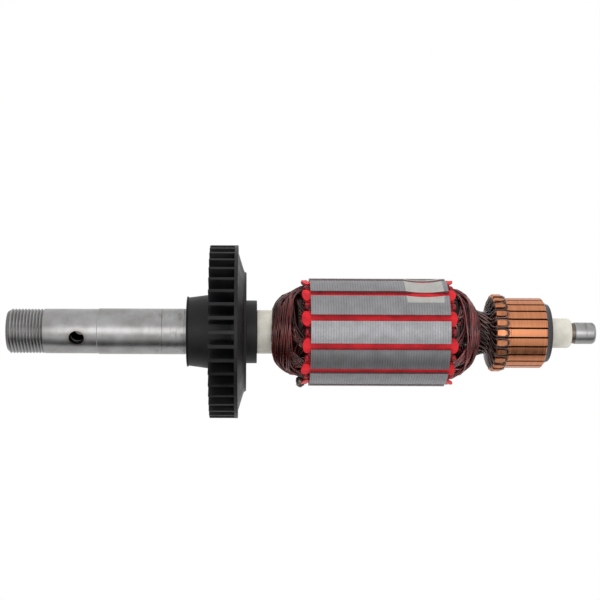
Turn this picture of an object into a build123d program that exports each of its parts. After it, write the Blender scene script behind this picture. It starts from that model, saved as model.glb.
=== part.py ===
from build123d import *
import os
from math import atan2, cos, degrees, radians, sin, sqrt, tan

# Wound motor armature: a steel spindle carrying a cooling fan, a slotted
# lamination stack, twelve coils and a copper commutator.
# The spindle lies along X, with its threaded nose towards -X.
# x = 0 is the nose-side face of the fan hub. Angles run about +X, with zero
# towards -Y and positive turning down, so an angle of 90 degrees is at -Z.

# Spindle, from the nose to the rear journal (lengths along X)
thread_length = 13.8
thread_r = 8.3
relief_length = 19.6
front_seat_length = 33.0
front_seat_r = 8.5
fan_seat_r = 8.7
core_shaft_r = 6.0
commutator_shaft_r = 5.0
undercut_length = 1.1
undercut_r = 3.8
journal_length = 7.8
journal_r = 4.0
nose_chamfer = 1.2
journal_chamfer = 1.0

# Collet socket in the spindle nose, and the cross hole for the locking pin
socket_mouth_r = 6.7
socket_throat_r = 4.5
socket_taper_length = 15.0
socket_bore_r = 4.2
socket_bore_length = 35.0
drill_point_length = 2.4
lock_hole_r = 2.5
lock_hole_setback = 12.3
lock_hole_angle = 18.0

# Cooling fan, one moulding
fan_tip_r = 32.2
hub_front_r = 12.7
hub_lip_r = 13.1
hub_lip_length = 0.4
hub_length = 8.5
hub_rear_r = 13.75
blade_count = 40
blade_length = 9.16
blade_thickness = 1.4
blade_depth = 11.2
blade_phase = 0.4
eye_flare_r = 15.2
eye_flare_length = 8.0
eye_floor_r = 17.4
dish_depth = 1.2
dish_floor_inset = 8.2
dish_edge_inset = 2.2
rim_thickness = 1.34
fan_back_inset = 2.8
fan_step_r = 22.46
fan_step_length = 2.0
fan_land_r = 22.0
fan_land_length = 1.0
fan_boss_r = 11.7
fan_boss_length = 3.9

# Insulating sleeve between the fan and the winding
sleeve_length = 18.2
sleeve_r = 8.1

# Laminated core
core_length = 50.0
core_r = 20.0
slot_count = 12
slot_opening = 2.4
tooth_tip_depth = 1.0
tooth_width = 3.0
wedge_seat_width = 5.7
slot_floor_r = 10.9
end_plate_thickness = 1.0
end_plate_rim_r = 19.3

# Balance scoop ground into the core
scoop_centre = 41.7
scoop_angle = -55.0
scoop_depth = 0.75
scoop_cutter_r = 28.0
scoop_form_r = 34.0
scoop_width = 17.4

# Slot wedges and liners
wedge_width = 5.4
wedge_thickness = 0.5
wedge_front_overhang = 3.2
wedge_rear_overhang = 2.1
wedge_corner = 1.3
liner_thickness = 0.25

# Coils: each spans five slots, and the pairs are wound one over another
coil_pitch_slots = 5
last_coil_start = -75.0
coil_split_r = 14.4
head_drop = 1.2
head_shoulder_r = 15.2
head_crown_r = 8.9
head_inner_r = 8.35
front_head_height = 12.8
front_shoulder_height = 7.3
front_skirt_height = 2.3
rear_inner_r = 7.0
rear_head_height = 12.4
rear_shoulder_height = 6.9
rear_skirt_height = 3.1
hug_r = 10.9
bridge_r = 14.2
coil_gap = 0.2
sector_gap_angle = 0.8

# Commutator: copper bars keyed into a resin body
bar_count = 24
bar_track_r = 13.0
bar_land_r = 13.15
bar_foot_r = 9.6
bar_neck_r = 12.4
bar_land_length = 5.3
track_length = 13.4
bar_chamfer_length = 0.5
bar_foot_slope = 0.9
bar_groove_angle = 2.2
hook_offset = 17.5
hook_length = 3.8
hook_width = 2.1
hook_outer_r = 14.3
hook_thickness = 0.6
hook_bevel = 0.4
fin_thickness = 0.3
fin_r = 12.3
fin_root_depth = 0.3
resin_offset = 17.3
resin_ring_r = 12.2
resin_ring_length = 1.9
resin_end_r = 10.9

# Leads from the rear head to the hooks, and the sleeve they are laid on
rear_sleeve_r = 6.7
lead_thickness = 1.1
lead_depth = 1.3
lead_foot_r = 9.6
lead_foot_gap = 0.7
lead_neck_r = 7.9
lead_neck_under_r = 6.95
lead_neck_x = 14.6
lead_elbow_x = 15.7
lead_elbow_r = 10.4
lead_end_r = 13.7

# Insulating collar between the commutator and the rear journal
collar_r = 5.55
collar_length = 8.8
collar_chamfer = 1.2

# Clearance between pieces that are pressed or slid together
fit_gap = 0.05

# Places and shares that follow from the sizes above
seat_end = -front_seat_length
relief_end = seat_end - relief_length
nose_end = relief_end - thread_length
rim_front = hub_length + blade_length
rim_back = rim_front + rim_thickness
dish_x = rim_front + dish_depth
fan_step_x = rim_back + fan_step_length
fan_land_x = fan_step_x + fan_land_length
fan_end = fan_land_x + fan_boss_length
sleeve_end = fan_end + sleeve_length
core_front = sleeve_end + end_plate_thickness + 2 * fit_gap
core_back = core_front + core_length
head_front = core_front - end_plate_thickness - 2 * fit_gap
head_back = core_back + end_plate_thickness + 2 * fit_gap
hook_x = core_back + hook_offset
resin_x = core_back + resin_offset
track_front = hook_x + bar_land_length
track_back = track_front + track_length
bar_end = track_back + bar_chamfer_length
resin_end = bar_end + resin_ring_length
collar_start = resin_end + fit_gap
collar_end = collar_start + collar_length
journal_start = collar_end + undercut_length
shaft_end = journal_start + journal_length
slot_pitch = 360 / slot_count
slot_angles = [slot_pitch * (i + 0.5) for i in range(slot_count)]
bar_angles = [360 / bar_count * i for i in range(bar_count)]
layer_count = slot_count // 2
wedge_top_r = core_r - tooth_tip_depth - fit_gap
slot_fill_r = wedge_top_r - wedge_thickness - fit_gap
head_outer_r = slot_fill_r - head_drop
liner_skin = fit_gap + liner_thickness
liner_overhang = end_plate_thickness
front_head = [
    (0, head_outer_r),
    (front_skirt_height, head_outer_r),
    (front_shoulder_height, head_shoulder_r),
    (front_head_height, head_crown_r),
]
rear_head = [
    (0, head_outer_r),
    (rear_skirt_height, head_outer_r),
    (rear_shoulder_height, head_shoulder_r),
    (rear_head_height, head_crown_r),
]


def cross_plane(x, turn=0.0):
    """The plane square to the spindle at x, whose first axis points at the given angle."""
    toward = Vector(0, -cos(radians(turn)), -sin(radians(turn)))
    return Plane(origin=(x, 0, 0), x_dir=toward, z_dir=(1, 0, 0))


def side_plane(turn):
    """The plane through the spindle axis at an angle: first axis along X, second outwards."""
    outward = Vector(0, -cos(radians(turn)), -sin(radians(turn)))
    return Plane(origin=(0, 0, 0), x_dir=(1, 0, 0), z_dir=Vector(1, 0, 0).cross(outward))


def polar(r, angle):
    """A point of a cross plane, from a radius and an angle."""
    return (r * cos(radians(angle)), r * sin(radians(angle)))


def save(part, label):
    part.label = label
    export_step(part, f"parts/{label}.step")


def save_turned(part, turn, label):
    """A copy of a piece, turned about the spindle axis."""
    with BuildPart() as copy:
        add(part, rotation=(turn, 0, 0))
    save(copy.part, label)


os.makedirs("parts", exist_ok=True)


# Spindle: one turned and bored piece
def spindle():
    outline = [
        (nose_end, 0),
        (nose_end, thread_r - nose_chamfer),
        (nose_end + nose_chamfer, thread_r),
        (seat_end, thread_r),
        (seat_end, front_seat_r),
        (0, front_seat_r),
        (0, fan_seat_r),
        (fan_end, fan_seat_r),
        (fan_end, core_shaft_r),
        (resin_x, core_shaft_r),
        (resin_x, commutator_shaft_r),
        (collar_end, commutator_shaft_r),
        (collar_end, undercut_r),
        (journal_start, undercut_r),
        (journal_start, journal_r),
        (shaft_end - journal_chamfer, journal_r),
        (shaft_end, journal_r - journal_chamfer),
        (shaft_end, 0),
    ]
    throat = nose_end + socket_taper_length
    bottom = throat + socket_bore_length
    socket = [
        (nose_end, 0),
        (nose_end, socket_mouth_r),
        (throat, socket_throat_r),
        (throat, socket_bore_r),
        (bottom, socket_bore_r),
        (bottom + drill_point_length, 0),
    ]
    hole_plane = Plane(
        origin=(relief_end + lock_hole_setback, 0, 0),
        x_dir=(1, 0, 0),
        z_dir=cross_plane(0, lock_hole_angle).x_dir,
    )
    with BuildPart() as shaft:
        with BuildSketch(Plane.XY):
            Polygon(*outline)
        revolve(axis=Axis.X)
        with BuildSketch(Plane.XY):
            Polygon(*socket)
        revolve(axis=Axis.X, mode=Mode.SUBTRACT)
        with BuildSketch(hole_plane):
            Circle(lock_hole_r)
        extrude(amount=2 * thread_r, both=True, mode=Mode.SUBTRACT)
    save(shaft.part, "spindle_shaft")


# Cooling fan: a dished back plate on a hub, with straight radial blades
def fan():
    outline = [
        (0, fan_seat_r + fit_gap),
        (0, hub_lip_r),
        (hub_lip_length, hub_lip_r),
        (hub_lip_length, hub_front_r),
        (hub_length, hub_rear_r),
        (hub_length + eye_flare_length, eye_flare_r),
        (dish_x, eye_floor_r),
        (dish_x, fan_tip_r - dish_floor_inset),
        (rim_front, fan_tip_r - dish_edge_inset),
        (rim_front, fan_tip_r),
        (rim_back, fan_tip_r),
        (rim_back, fan_tip_r - fan_back_inset),
        (fan_step_x, fan_step_r),
        (fan_land_x, fan_land_r),
        (fan_land_x, fan_boss_r),
        (fan_end, fan_boss_r),
        (fan_end, fan_seat_r + fit_gap),
    ]
    with BuildPart() as wheel:
        with BuildSketch(Plane.XY):
            Polygon(*outline)
        revolve(axis=Axis.X)
        with BuildSketch(cross_plane(hub_length, blade_phase)):
            with PolarLocations(fan_tip_r - blade_depth / 2, blade_count):
                Rectangle(blade_depth, blade_thickness)
        extrude(amount=dish_x - hub_length)
    save(wheel.part, "cooling_fan")


def turned(outline, label):
    """A plain turned piece, from its half section in (x, r)."""
    with BuildPart() as piece:
        with BuildSketch(Plane.XY):
            Polygon(*outline)
        revolve(axis=Axis.X)
    save(piece.part, label)


def slot_half_width(r, inset=0.0):
    """Half the slot's width at a height r, beside teeth of even width, up to the wedge seat."""
    half_pitch = radians(slot_pitch / 2)
    beside_tooth = r * tan(half_pitch) - tooth_width / 2 / cos(half_pitch)
    return min(beside_tooth, wedge_seat_width / 2) - inset


def slot_outline(low_r, high_r, inset=0.0):
    """The slot between two heights, drawn about its middle line and inset from its sides."""
    half_pitch = radians(slot_pitch / 2)
    knee_r = (wedge_seat_width / 2 + tooth_width / 2 / cos(half_pitch)) / tan(half_pitch)
    heights = [low_r] + [knee_r] * (low_r < knee_r < high_r) + [high_r]
    right = [(r, slot_half_width(r, inset)) for r in heights]
    left = [(r, -half) for r, half in reversed(right)]
    return right + left


# Lamination stack: one bonded pack with semi-closed slots and a ground balance scoop
def lamination_stack():
    scoop_plane = cross_plane(core_front + scoop_centre, scoop_angle)
    cutter_r = core_r - scoop_depth + scoop_cutter_r
    floor_r = core_r - scoop_depth
    edge_r = floor_r - scoop_form_r + sqrt(scoop_form_r**2 - (scoop_width / 2) ** 2)
    cutter_axis = Axis(scoop_plane.from_local_coords((cutter_r, 0, 0)), scoop_plane.y_dir)
    with BuildPart() as stack:
        with BuildSketch(cross_plane(core_front)):
            Circle(core_r)
            Circle(core_shaft_r + fit_gap, mode=Mode.SUBTRACT)
            for angle in slot_angles:
                with Locations(Location((0, 0, 0), (0, 0, angle))):
                    Polygon(*slot_outline(slot_floor_r, wedge_top_r + fit_gap), mode=Mode.SUBTRACT)
                    with Locations((core_r, 0)):
                        Rectangle(2 * (core_r - slot_fill_r), slot_opening, mode=Mode.SUBTRACT)
        extrude(amount=core_length)
        with BuildSketch(scoop_plane):
            with BuildLine():
                ThreePointArc((edge_r, -scoop_width / 2), (floor_r, 0), (edge_r, scoop_width / 2))
                Polyline(
                    (edge_r, scoop_width / 2),
                    (cutter_r, scoop_width / 2),
                    (cutter_r, -scoop_width / 2),
                    (edge_r, -scoop_width / 2),
                )
            make_face()
        revolve(axis=cutter_axis, mode=Mode.SUBTRACT)
    save(stack.part, "lamination_stack")


# Insulating end plates: the core's outline without tooth tips, at both faces
def end_plate(start, label):
    with BuildPart() as plate:
        with BuildSketch(cross_plane(start)):
            Circle(end_plate_rim_r)
            Circle(core_shaft_r + fit_gap, mode=Mode.SUBTRACT)
            for angle in slot_angles:
                with Locations(Location((0, 0, 0), (0, 0, angle))):
                    Polygon(*slot_outline(slot_floor_r, core_r), mode=Mode.SUBTRACT)
        extrude(amount=end_plate_thickness)
    save(plate.part, label)


# Slot wedges: flat strips with cut corners, held under the tooth tips
def slot_wedge():
    seat_plane = Plane(
        origin=(core_front, -wedge_top_r + wedge_thickness, 0),
        x_dir=(1, 0, 0),
        z_dir=(0, -1, 0),
    )
    length = wedge_front_overhang + core_length + wedge_rear_overhang
    middle = length / 2 - wedge_front_overhang
    with BuildPart() as wedge:
        with BuildSketch(seat_plane):
            with Locations((middle, 0)):
                Rectangle(length, wedge_width)
            chamfer(vertices(), wedge_corner)
        extrude(amount=wedge_thickness)
    return wedge.part


# Slot liners: a folded trough in each slot, open under the wedge
def slot_liners():
    outer = slot_outline(slot_floor_r + fit_gap, slot_fill_r, fit_gap)
    inner = slot_outline(slot_floor_r + liner_skin, core_r, liner_skin)
    with BuildPart() as liners:
        with BuildSketch(cross_plane(core_front - liner_overhang)):
            for angle in slot_angles:
                with Locations(Location((0, 0, 0), (0, 0, angle))):
                    Polygon(*outer)
                    Polygon(*inner, mode=Mode.SUBTRACT)
        extrude(amount=core_length + 2 * liner_overhang)
    save(liners.part, "slot_liners")


def flat_r(apothem, angle):
    """The radius of a head's flat-sided outline at an angle: one flat faces each slot."""
    nearest_slot = slot_pitch * ((angle // slot_pitch) + 0.5)
    return apothem / cos(radians(angle - nearest_slot))


def sector(low, high, start, stop):
    """Part of a flat-sided ring, between two apothems and two angles."""
    corner = slot_pitch * (start // slot_pitch + 1)
    angles = [start]
    while corner < stop:
        angles.append(corner)
        corner += slot_pitch
    angles.append(stop)
    outer = [polar(flat_r(high, angle), angle) for angle in angles]
    inner = [polar(flat_r(low, angle), angle) for angle in reversed(angles)]
    return outer + inner


def head_form(face_x, outward, head, share, lift):
    """The flat-sided dome that a head has reached once a share of its coils is wound."""
    levels = [
        (face_x + outward * (height * share + (lift if height else 0)), apothem)
        for height, apothem in head
    ]
    profile = levels + [(x, -apothem) for x, apothem in reversed(levels)]
    with BuildPart() as form:
        for angle in slot_angles[: slot_count // 2]:
            with BuildSketch(side_plane(angle)):
                Polygon(*profile)
            meet = Mode.INTERSECT if form.part else Mode.ADD
            extrude(amount=2 * head_outer_r, both=True, mode=meet)
    return form.part


# One coil's turns over one end of the core. Coils wound later bridge the earlier ones
# wherever no leg has still to come out of a slot.
def coil_end(face_x, outward, head, inner_r, middle, layer):
    half_span = slot_pitch * (coil_pitch_slots + 1) / 2
    low_edge = -half_span + sector_gap_angle
    high_edge = half_span - sector_gap_angle
    cell = slot_pitch - 2 * sector_gap_angle
    last = layer == layer_count
    bridge_edge = low_edge + slot_pitch * (layer_count - layer + 1) * (not last)
    lower_leg = (hug_r + coil_gap, coil_split_r - coil_gap / 2)
    upper_leg = (coil_split_r + coil_gap / 2, head_outer_r)
    start_leg = upper_leg if last else lower_leg
    end_leg = lower_leg if layer == 1 else upper_leg
    reach = outward * (head[-1][0] + coil_gap)
    reached = head_form(face_x, outward, head, layer / layer_count, 0)
    below = None
    if layer > 1:
        below = head_form(face_x, outward, head, (layer - 1) / layer_count, coil_gap)
    with BuildPart() as turns:
        with BuildSketch(cross_plane(face_x, middle)):
            Polygon(*sector(inner_r, hug_r, low_edge, high_edge))
            Polygon(*sector(inner_r, start_leg[1], low_edge, low_edge + cell))
            Polygon(*sector(inner_r, end_leg[1], high_edge - cell, high_edge))
            if bridge_edge < high_edge - cell:
                Polygon(*sector(inner_r, bridge_r, bridge_edge, high_edge))
        extrude(amount=reach)
        if below is not None:
            add(below, mode=Mode.SUBTRACT)
        with BuildSketch(cross_plane(face_x, middle)):
            Polygon(*sector(*start_leg, low_edge, low_edge + cell))
            Polygon(*sector(*end_leg, high_edge - cell, high_edge))
        extrude(amount=reach)
        add(reached, mode=Mode.INTERSECT)
    return turns.part


# One coil: two sides lying in slots, joined by its turns at both heads
def coil(start_angle, layer):
    span = slot_pitch * coil_pitch_slots
    lower_side = (slot_floor_r + liner_skin + fit_gap, coil_split_r - coil_gap / 2)
    upper_side = (coil_split_r + coil_gap / 2, slot_fill_r - coil_gap)
    sides = [
        (start_angle, upper_side if layer == layer_count else lower_side),
        (start_angle + span, lower_side if layer == 1 else upper_side),
    ]
    middle = start_angle + span / 2
    front = coil_end(head_front, -1, front_head, head_inner_r, middle, layer)
    rear = coil_end(head_back, 1, rear_head, rear_inner_r, middle, layer)
    with BuildPart() as winding:
        for angle, (low_r, high_r) in sides:
            with BuildSketch(cross_plane(head_front, angle)):
                Polygon(*slot_outline(low_r, high_r, liner_skin + fit_gap))
            extrude(amount=head_back - head_front)
        add([front, rear])
    return winding.part


# Commutator bar: a copper segment with a turned track and a hook folded up at its inner end
def commutator_bar():
    half_width = 180 / bar_count - bar_groove_angle / 2
    foot = bar_foot_r * tan(radians(half_width))
    end_cut = [
        (track_back, bar_track_r),
        (bar_end, bar_neck_r),
        (bar_end - bar_foot_slope, 0),
        (bar_end + bar_chamfer_length, 0),
        (bar_end + bar_chamfer_length, bar_land_r + bar_chamfer_length),
        (track_back, bar_land_r + bar_chamfer_length),
    ]
    hook_under_r = hook_outer_r - hook_thickness
    hook = [
        (hook_x, bar_foot_r),
        (hook_x, hook_outer_r - hook_bevel),
        (hook_x + hook_bevel, hook_outer_r),
        (hook_x + hook_length, hook_outer_r),
        (hook_x + hook_length, hook_under_r),
        (hook_x + hook_thickness, hook_under_r),
        (hook_x + hook_thickness, bar_foot_r),
    ]
    with BuildPart() as bar:
        for start, length, top_r in (
            (hook_x, bar_land_length, bar_land_r),
            (track_front, track_length + bar_chamfer_length, bar_track_r),
        ):
            with BuildSketch(cross_plane(start)):
                with BuildLine():
                    Polyline(
                        polar(top_r, -half_width),
                        (bar_foot_r, -foot),
                        (bar_foot_r, foot),
                        polar(top_r, half_width),
                    )
                    ThreePointArc(polar(top_r, half_width), (top_r, 0), polar(top_r, -half_width))
                make_face()
            extrude(amount=length)
        with BuildSketch(side_plane(0)):
            Polygon(*end_cut)
        extrude(amount=bar_track_r, both=True, mode=Mode.SUBTRACT)
        with BuildSketch(side_plane(0)):
            Polygon(*hook)
        extrude(amount=hook_width / 2, both=True)
    return bar.part


# Commutator moulding: a flat-sided resin core under the bars, fins between them, an end ring
def commutator_moulding():
    core_length_under_bars = bar_end - bar_foot_slope - resin_x
    ring = [
        (bar_end - bar_foot_slope, bar_foot_r - bar_foot_slope),
        (bar_end + fit_gap, bar_foot_r - bar_foot_slope),
        (bar_end + fit_gap, resin_ring_r),
        (resin_end, resin_end_r),
        (resin_end, 0),
        (bar_end - bar_foot_slope, 0),
    ]
    fin = [
        (hook_x, bar_foot_r - fin_root_depth),
        (hook_x, fin_r),
        (track_back, fin_r),
        (bar_end - fit_gap, bar_neck_r - fin_root_depth),
        (bar_end - bar_foot_slope, bar_foot_r - fin_root_depth),
    ]
    with BuildPart() as resin:
        with BuildSketch(cross_plane(resin_x)):
            RegularPolygon(
                bar_foot_r - fit_gap,
                bar_count,
                major_radius=False,
                rotation=180 / bar_count,
            )
        extrude(amount=core_length_under_bars)
        with BuildSketch(Plane.XY):
            Polygon(*ring)
        revolve(axis=Axis.X)
        for angle in bar_angles:
            with BuildSketch(side_plane(angle + 180 / bar_count)):
                Polygon(*fin)
        extrude(amount=fin_thickness / 2, both=True)
        with BuildSketch(cross_plane(resin_x)):
            Circle(commutator_shaft_r + fit_gap)
        extrude(amount=resin_end - resin_x, mode=Mode.SUBTRACT)
    save(resin.part, "commutator_moulding")


# Leads: one pair of wires for each bar, from the rear head round the neck to the hook
def commutator_leads():
    slope = (rear_head_height - rear_shoulder_height) / (head_shoulder_r - head_crown_r)
    crown_x = head_back + rear_head_height + lead_foot_gap
    foot_x = crown_x - slope * (lead_foot_r - head_crown_r)
    neck_x = core_back + lead_neck_x
    elbow_x = core_back + lead_elbow_x
    end_x = hook_x - fit_gap
    route = [
        (foot_x, lead_foot_r),
        (neck_x, lead_neck_r),
        (elbow_x, lead_elbow_r),
        (end_x, lead_end_r),
        (end_x, lead_end_r - lead_depth),
        (elbow_x + lead_depth / 2, lead_elbow_r - lead_depth / 2),
        (neck_x + lead_depth / 2, lead_neck_under_r),
        (crown_x, lead_neck_under_r),
    ]
    with BuildPart() as leads:
        for angle in bar_angles:
            with BuildSketch(side_plane(angle)):
                Polygon(*route)
        extrude(amount=lead_thickness / 2, both=True)
    save(leads.part, "commutator_leads")


spindle()
fan()
turned(
    [
        (fan_end + fit_gap, core_shaft_r + fit_gap),
        (fan_end + fit_gap, sleeve_r),
        (sleeve_end, sleeve_r),
        (sleeve_end, core_shaft_r + fit_gap),
    ],
    "front_insulating_sleeve",
)
lamination_stack()
end_plate(core_front - fit_gap - end_plate_thickness, "front_end_insulator")
end_plate(core_back + fit_gap, "rear_end_insulator")
slot_liners()
wedge_at_zero = slot_wedge()
for number, angle in enumerate(slot_angles, 1):
    save_turned(wedge_at_zero, angle, f"slot_wedge_{number:02d}")
for layer in range(1, layer_count + 1):
    winding = coil(last_coil_start + slot_pitch * (layer - layer_count), layer)
    save(winding, f"coil_{layer:02d}")
    save_turned(winding, 180, f"coil_{layer + layer_count:02d}")
turned(
    [
        (head_back, core_shaft_r + fit_gap),
        (head_back, rear_sleeve_r),
        (resin_x - fit_gap, rear_sleeve_r),
        (resin_x - fit_gap, core_shaft_r + fit_gap),
    ],
    "rear_insulating_sleeve",
)
commutator_leads()
bar_at_zero = commutator_bar()
for number, angle in enumerate(bar_angles, 1):
    save_turned(bar_at_zero, angle, f"commutator_bar_{number:02d}")
commutator_moulding()
turned(
    [
        (collar_start, commutator_shaft_r + fit_gap),
        (collar_start, collar_r),
        (collar_end - collar_chamfer, collar_r),
        (collar_end, collar_r - collar_chamfer / 2),
        (collar_end, commutator_shaft_r + fit_gap),
    ],
    "rear_insulating_collar",
)
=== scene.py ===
# %% [markdown]
# # A wound motor armature
# This notebook dresses the rotor of a hand-held universal motor: a hollow steel spindle with a
# threaded nose, a moulded fan, a slotted core closed with red wedges, varnished windings and a
# copper commutator. The construction is loaded first as a fixed frame, and every piece made here
# takes its place from it. Lengths are written in millimetres and turned into metres by mm.

# %% Load the frame
import random
from math import acos, atan2, cos, degrees, pi, radians, sin, sqrt, tan

import bmesh
import bpy
from mathutils import Matrix, Vector, noise


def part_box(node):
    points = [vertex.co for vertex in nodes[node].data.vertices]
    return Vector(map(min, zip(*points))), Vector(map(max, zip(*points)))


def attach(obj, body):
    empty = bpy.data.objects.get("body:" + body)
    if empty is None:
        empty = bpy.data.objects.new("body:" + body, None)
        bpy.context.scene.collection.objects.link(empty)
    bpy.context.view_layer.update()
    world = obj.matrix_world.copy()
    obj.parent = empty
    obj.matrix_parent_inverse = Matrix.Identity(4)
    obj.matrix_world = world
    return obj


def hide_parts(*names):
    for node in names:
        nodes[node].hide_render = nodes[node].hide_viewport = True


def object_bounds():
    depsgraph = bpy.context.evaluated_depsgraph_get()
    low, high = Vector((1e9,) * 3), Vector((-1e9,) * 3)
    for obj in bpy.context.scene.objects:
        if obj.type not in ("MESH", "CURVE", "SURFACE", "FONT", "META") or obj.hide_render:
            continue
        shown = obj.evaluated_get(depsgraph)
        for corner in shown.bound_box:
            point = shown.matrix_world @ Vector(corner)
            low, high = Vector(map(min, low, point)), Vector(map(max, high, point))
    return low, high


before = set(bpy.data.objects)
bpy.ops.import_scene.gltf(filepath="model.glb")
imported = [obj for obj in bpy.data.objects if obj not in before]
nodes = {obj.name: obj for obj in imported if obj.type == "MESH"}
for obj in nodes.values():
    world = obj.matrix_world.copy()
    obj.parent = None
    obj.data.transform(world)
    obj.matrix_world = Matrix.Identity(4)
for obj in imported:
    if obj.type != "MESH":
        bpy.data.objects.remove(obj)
cad_low, cad_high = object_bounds()
mm = 0.001


def numbered(first_words):
    """The CAD nodes of a repeated piece, by how their names start."""
    return [name for name in nodes if name.startswith(first_words)]


def along(node):
    """Where a CAD node starts and ends along the spindle, in millimetres."""
    low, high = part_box(node)
    return low.x / mm, high.x / mm


nose_x, rear_x = along("spindle_shaft")
hub_x, fan_end_x = along("cooling_fan")
core_front_x, core_back_x = along("lamination_stack")
hook_x, bar_end_x = along("commutator_bar_01")
resin_x, resin_end_x = along("commutator_moulding")
collar_x, collar_end_x = along("rear_insulating_collar")
core_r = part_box("lamination_stack")[1].z / mm
wedge_nodes = numbered("slot_wedge")
coil_nodes = numbered("coil_")
bar_nodes = numbered("commutator_bar")
slot_count = len(wedge_nodes)
bar_count = len(bar_nodes)
slot_pitch = 360 / slot_count
bar_pitch = 360 / bar_count
print("core", core_front_x, core_back_x, "slots", slot_count, "bars", bar_count)

# %% [markdown]
# ## Turned shapes
# Nearly every piece here was turned on a lathe or moulded in a round tool. So the main tool is a
# lathe: it takes an outline of (x, r) points and spins it about the spindle axis. An outline that
# starts and ends on the axis closes in two poles, and any other outline closes on itself. Real
# edges are never knife sharp, so a second helper rounds the outline's corners first. The small
# rounds catch the light, and that is most of what makes an edge look real.

# %% The lathe
crease_angle = 32


def soften(outline, radius, steps=3):
    """Round the corners of an open (x, r) outline by a short curve at each inner corner."""
    points = [outline[0]]
    for before, corner, after in zip(outline, outline[1:], outline[2:]):
        a, b, c = Vector(before), Vector(corner), Vector(after)
        reach = min(radius, 0.4 * (a - b).length, 0.4 * (c - b).length)
        start = b + (a - b).normalized() * reach
        stop = b + (c - b).normalized() * reach
        for step in range(steps + 1):
            t = step / steps
            points.append(tuple(start * (1 - t) ** 2 + b * 2 * t * (1 - t) + stop * t**2))
    points.append(outline[-1])
    return points


def place(x, r, angle):
    """A point in metres: zero degrees faces the camera, and positive angles turn down."""
    return Vector((x, -r * cos(radians(angle)), -r * sin(radians(angle)))) * mm


def new_object(name, data):
    """An object in the scene for a mesh, a curve, a lamp or the camera."""
    made = bpy.data.objects.new(name, data)
    bpy.context.scene.collection.objects.link(made)
    return made


def new_piece(name, form, material, sharp_angle=crease_angle):
    """Make an object from a bmesh, smooth but with its real edges kept crisp."""
    bmesh.ops.remove_doubles(form, verts=form.verts, dist=1e-7)
    bmesh.ops.recalc_face_normals(form, faces=form.faces)
    mesh = bpy.data.meshes.new(name)
    form.to_mesh(mesh)
    form.free()
    mesh.shade_smooth()
    mesh.set_sharp_from_angle(angle=radians(sharp_angle))
    mesh.materials.append(material)
    return new_object(name, mesh)


def lathe(outline, steps, relief=None, start=0, sweep=360):
    """Spin an outline about X. A relief function may change the radius from place to place."""
    form = bmesh.new()
    whole = sweep == 360
    turns = steps if whole else steps + 1
    angles = [start + sweep * step / steps for step in range(turns)]
    rings = []
    for x, r in outline:
        if r == 0:
            rings.append([form.verts.new(place(x, 0, 0))] * turns)
        else:
            radii = [relief(x, r, angle) if relief else r for angle in angles]
            rings.append([form.verts.new(place(x, *spot)) for spot in zip(radii, angles)])
    closed = outline[0][1] > 0
    pairs = list(zip(rings, rings[1:])) + ([(rings[-1], rings[0])] if closed else [])
    for low, high in pairs:
        for step in range(steps):
            after = (step + 1) % turns
            corners = [low[step], low[after], high[after], high[step]]
            unique = list(dict.fromkeys(corners))
            if len(unique) > 2:
                form.faces.new(unique)
    if not whole:
        form.faces.new([ring[0] for ring in rings])
        form.faces.new([ring[-1] for ring in reversed(rings)])
    return form


corner_points = len(soften([(0, 0), (1, 0), (1, 1)], 0.2)) - 2
print("a softened corner has", corner_points, "points")

# %% [markdown]
# ## Nodes
# Geometry Nodes and materials are both trees of nodes, and one small function adds a node to
# either. It looks the kind up in a table: the node's type, its settings, the inputs that are
# filled in order, and the output that is used. A value that is another node's output is linked,
# and any other value is set. So each tree below reads as a short list.

# %% One function for every node
kinds = {
    "where": ("ShaderNodeTexCoord", {}, (), "Object"),
    "map": ("ShaderNodeMapping", {}, ("Vector", "Scale"), 0),
    "noise": ("ShaderNodeTexNoise", {}, ("Vector", "Scale", "Detail"), "Fac"),
    "split": ("ShaderNodeSeparateXYZ", {}, (0,), "X"),
    "along x": ("ShaderNodeCombineXYZ", {}, ("X",), 0),
    "mix": ("ShaderNodeMix", {"data_type": "RGBA"}, (0, 6, 7), 2),
    "range": ("ShaderNodeMapRange", {}, (0, 1, 2, 3, 4), 0),
    "bump": ("ShaderNodeBump", {}, ("Height", "Distance", "Strength", "Normal"), 0),
    "stretch": ("ShaderNodeVectorMath", {"operation": "MULTIPLY"}, (0, 1), 0),
    "length": ("ShaderNodeVectorMath", {"operation": "LENGTH"}, (0,), "Value"),
    "distance": ("ShaderNodeVectorMath", {"operation": "DISTANCE"}, (0, 1), "Value"),
    "island": ("ShaderNodeNewGeometry", {}, (), "Random Per Island"),
    "ray": ("ShaderNodeLightPath", {}, (), "Is Camera Ray"),
    "glow": ("ShaderNodeEmission", {}, ("Color", "Strength"), 0),
    "shader": ("ShaderNodeMixShader", {}, (0, 1, 2), 0),
    "points": ("GeometryNodePoints", {}, ("Count", "Position"), 0),
    "index": ("GeometryNodeInputIndex", {}, (), 0),
    "random": ("FunctionNodeRandomValue", {"data_type": "FLOAT"}, (2, 3, "Seed"), 1),
    "copies": ("GeometryNodeInstanceOnPoints", {}, ("Points", "Instance", "Rotation"), 0),
    "circle": ("GeometryNodeCurvePrimitiveCircle", {}, ("Resolution", "Radius"), 0),
    "sweep": ("GeometryNodeCurveToMesh", {}, ("Curve", "Profile Curve", "Fill Caps"), 0),
    "smooth": ("GeometryNodeSetShadeSmooth", {}, ("Geometry",), 0),
    "realize": ("GeometryNodeRealizeInstances", {}, (0,), 0),
    "paint": ("GeometryNodeSetMaterial", {}, ("Geometry", "Material"), 0),
}
for sum_kind in ("add", "multiply", "multiply_add", "divide", "power", "sine", "maximum"):
    kinds[sum_kind] = ("ShaderNodeMath", {"operation": sum_kind.upper()}, (0, 1, 2), 0)


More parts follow.
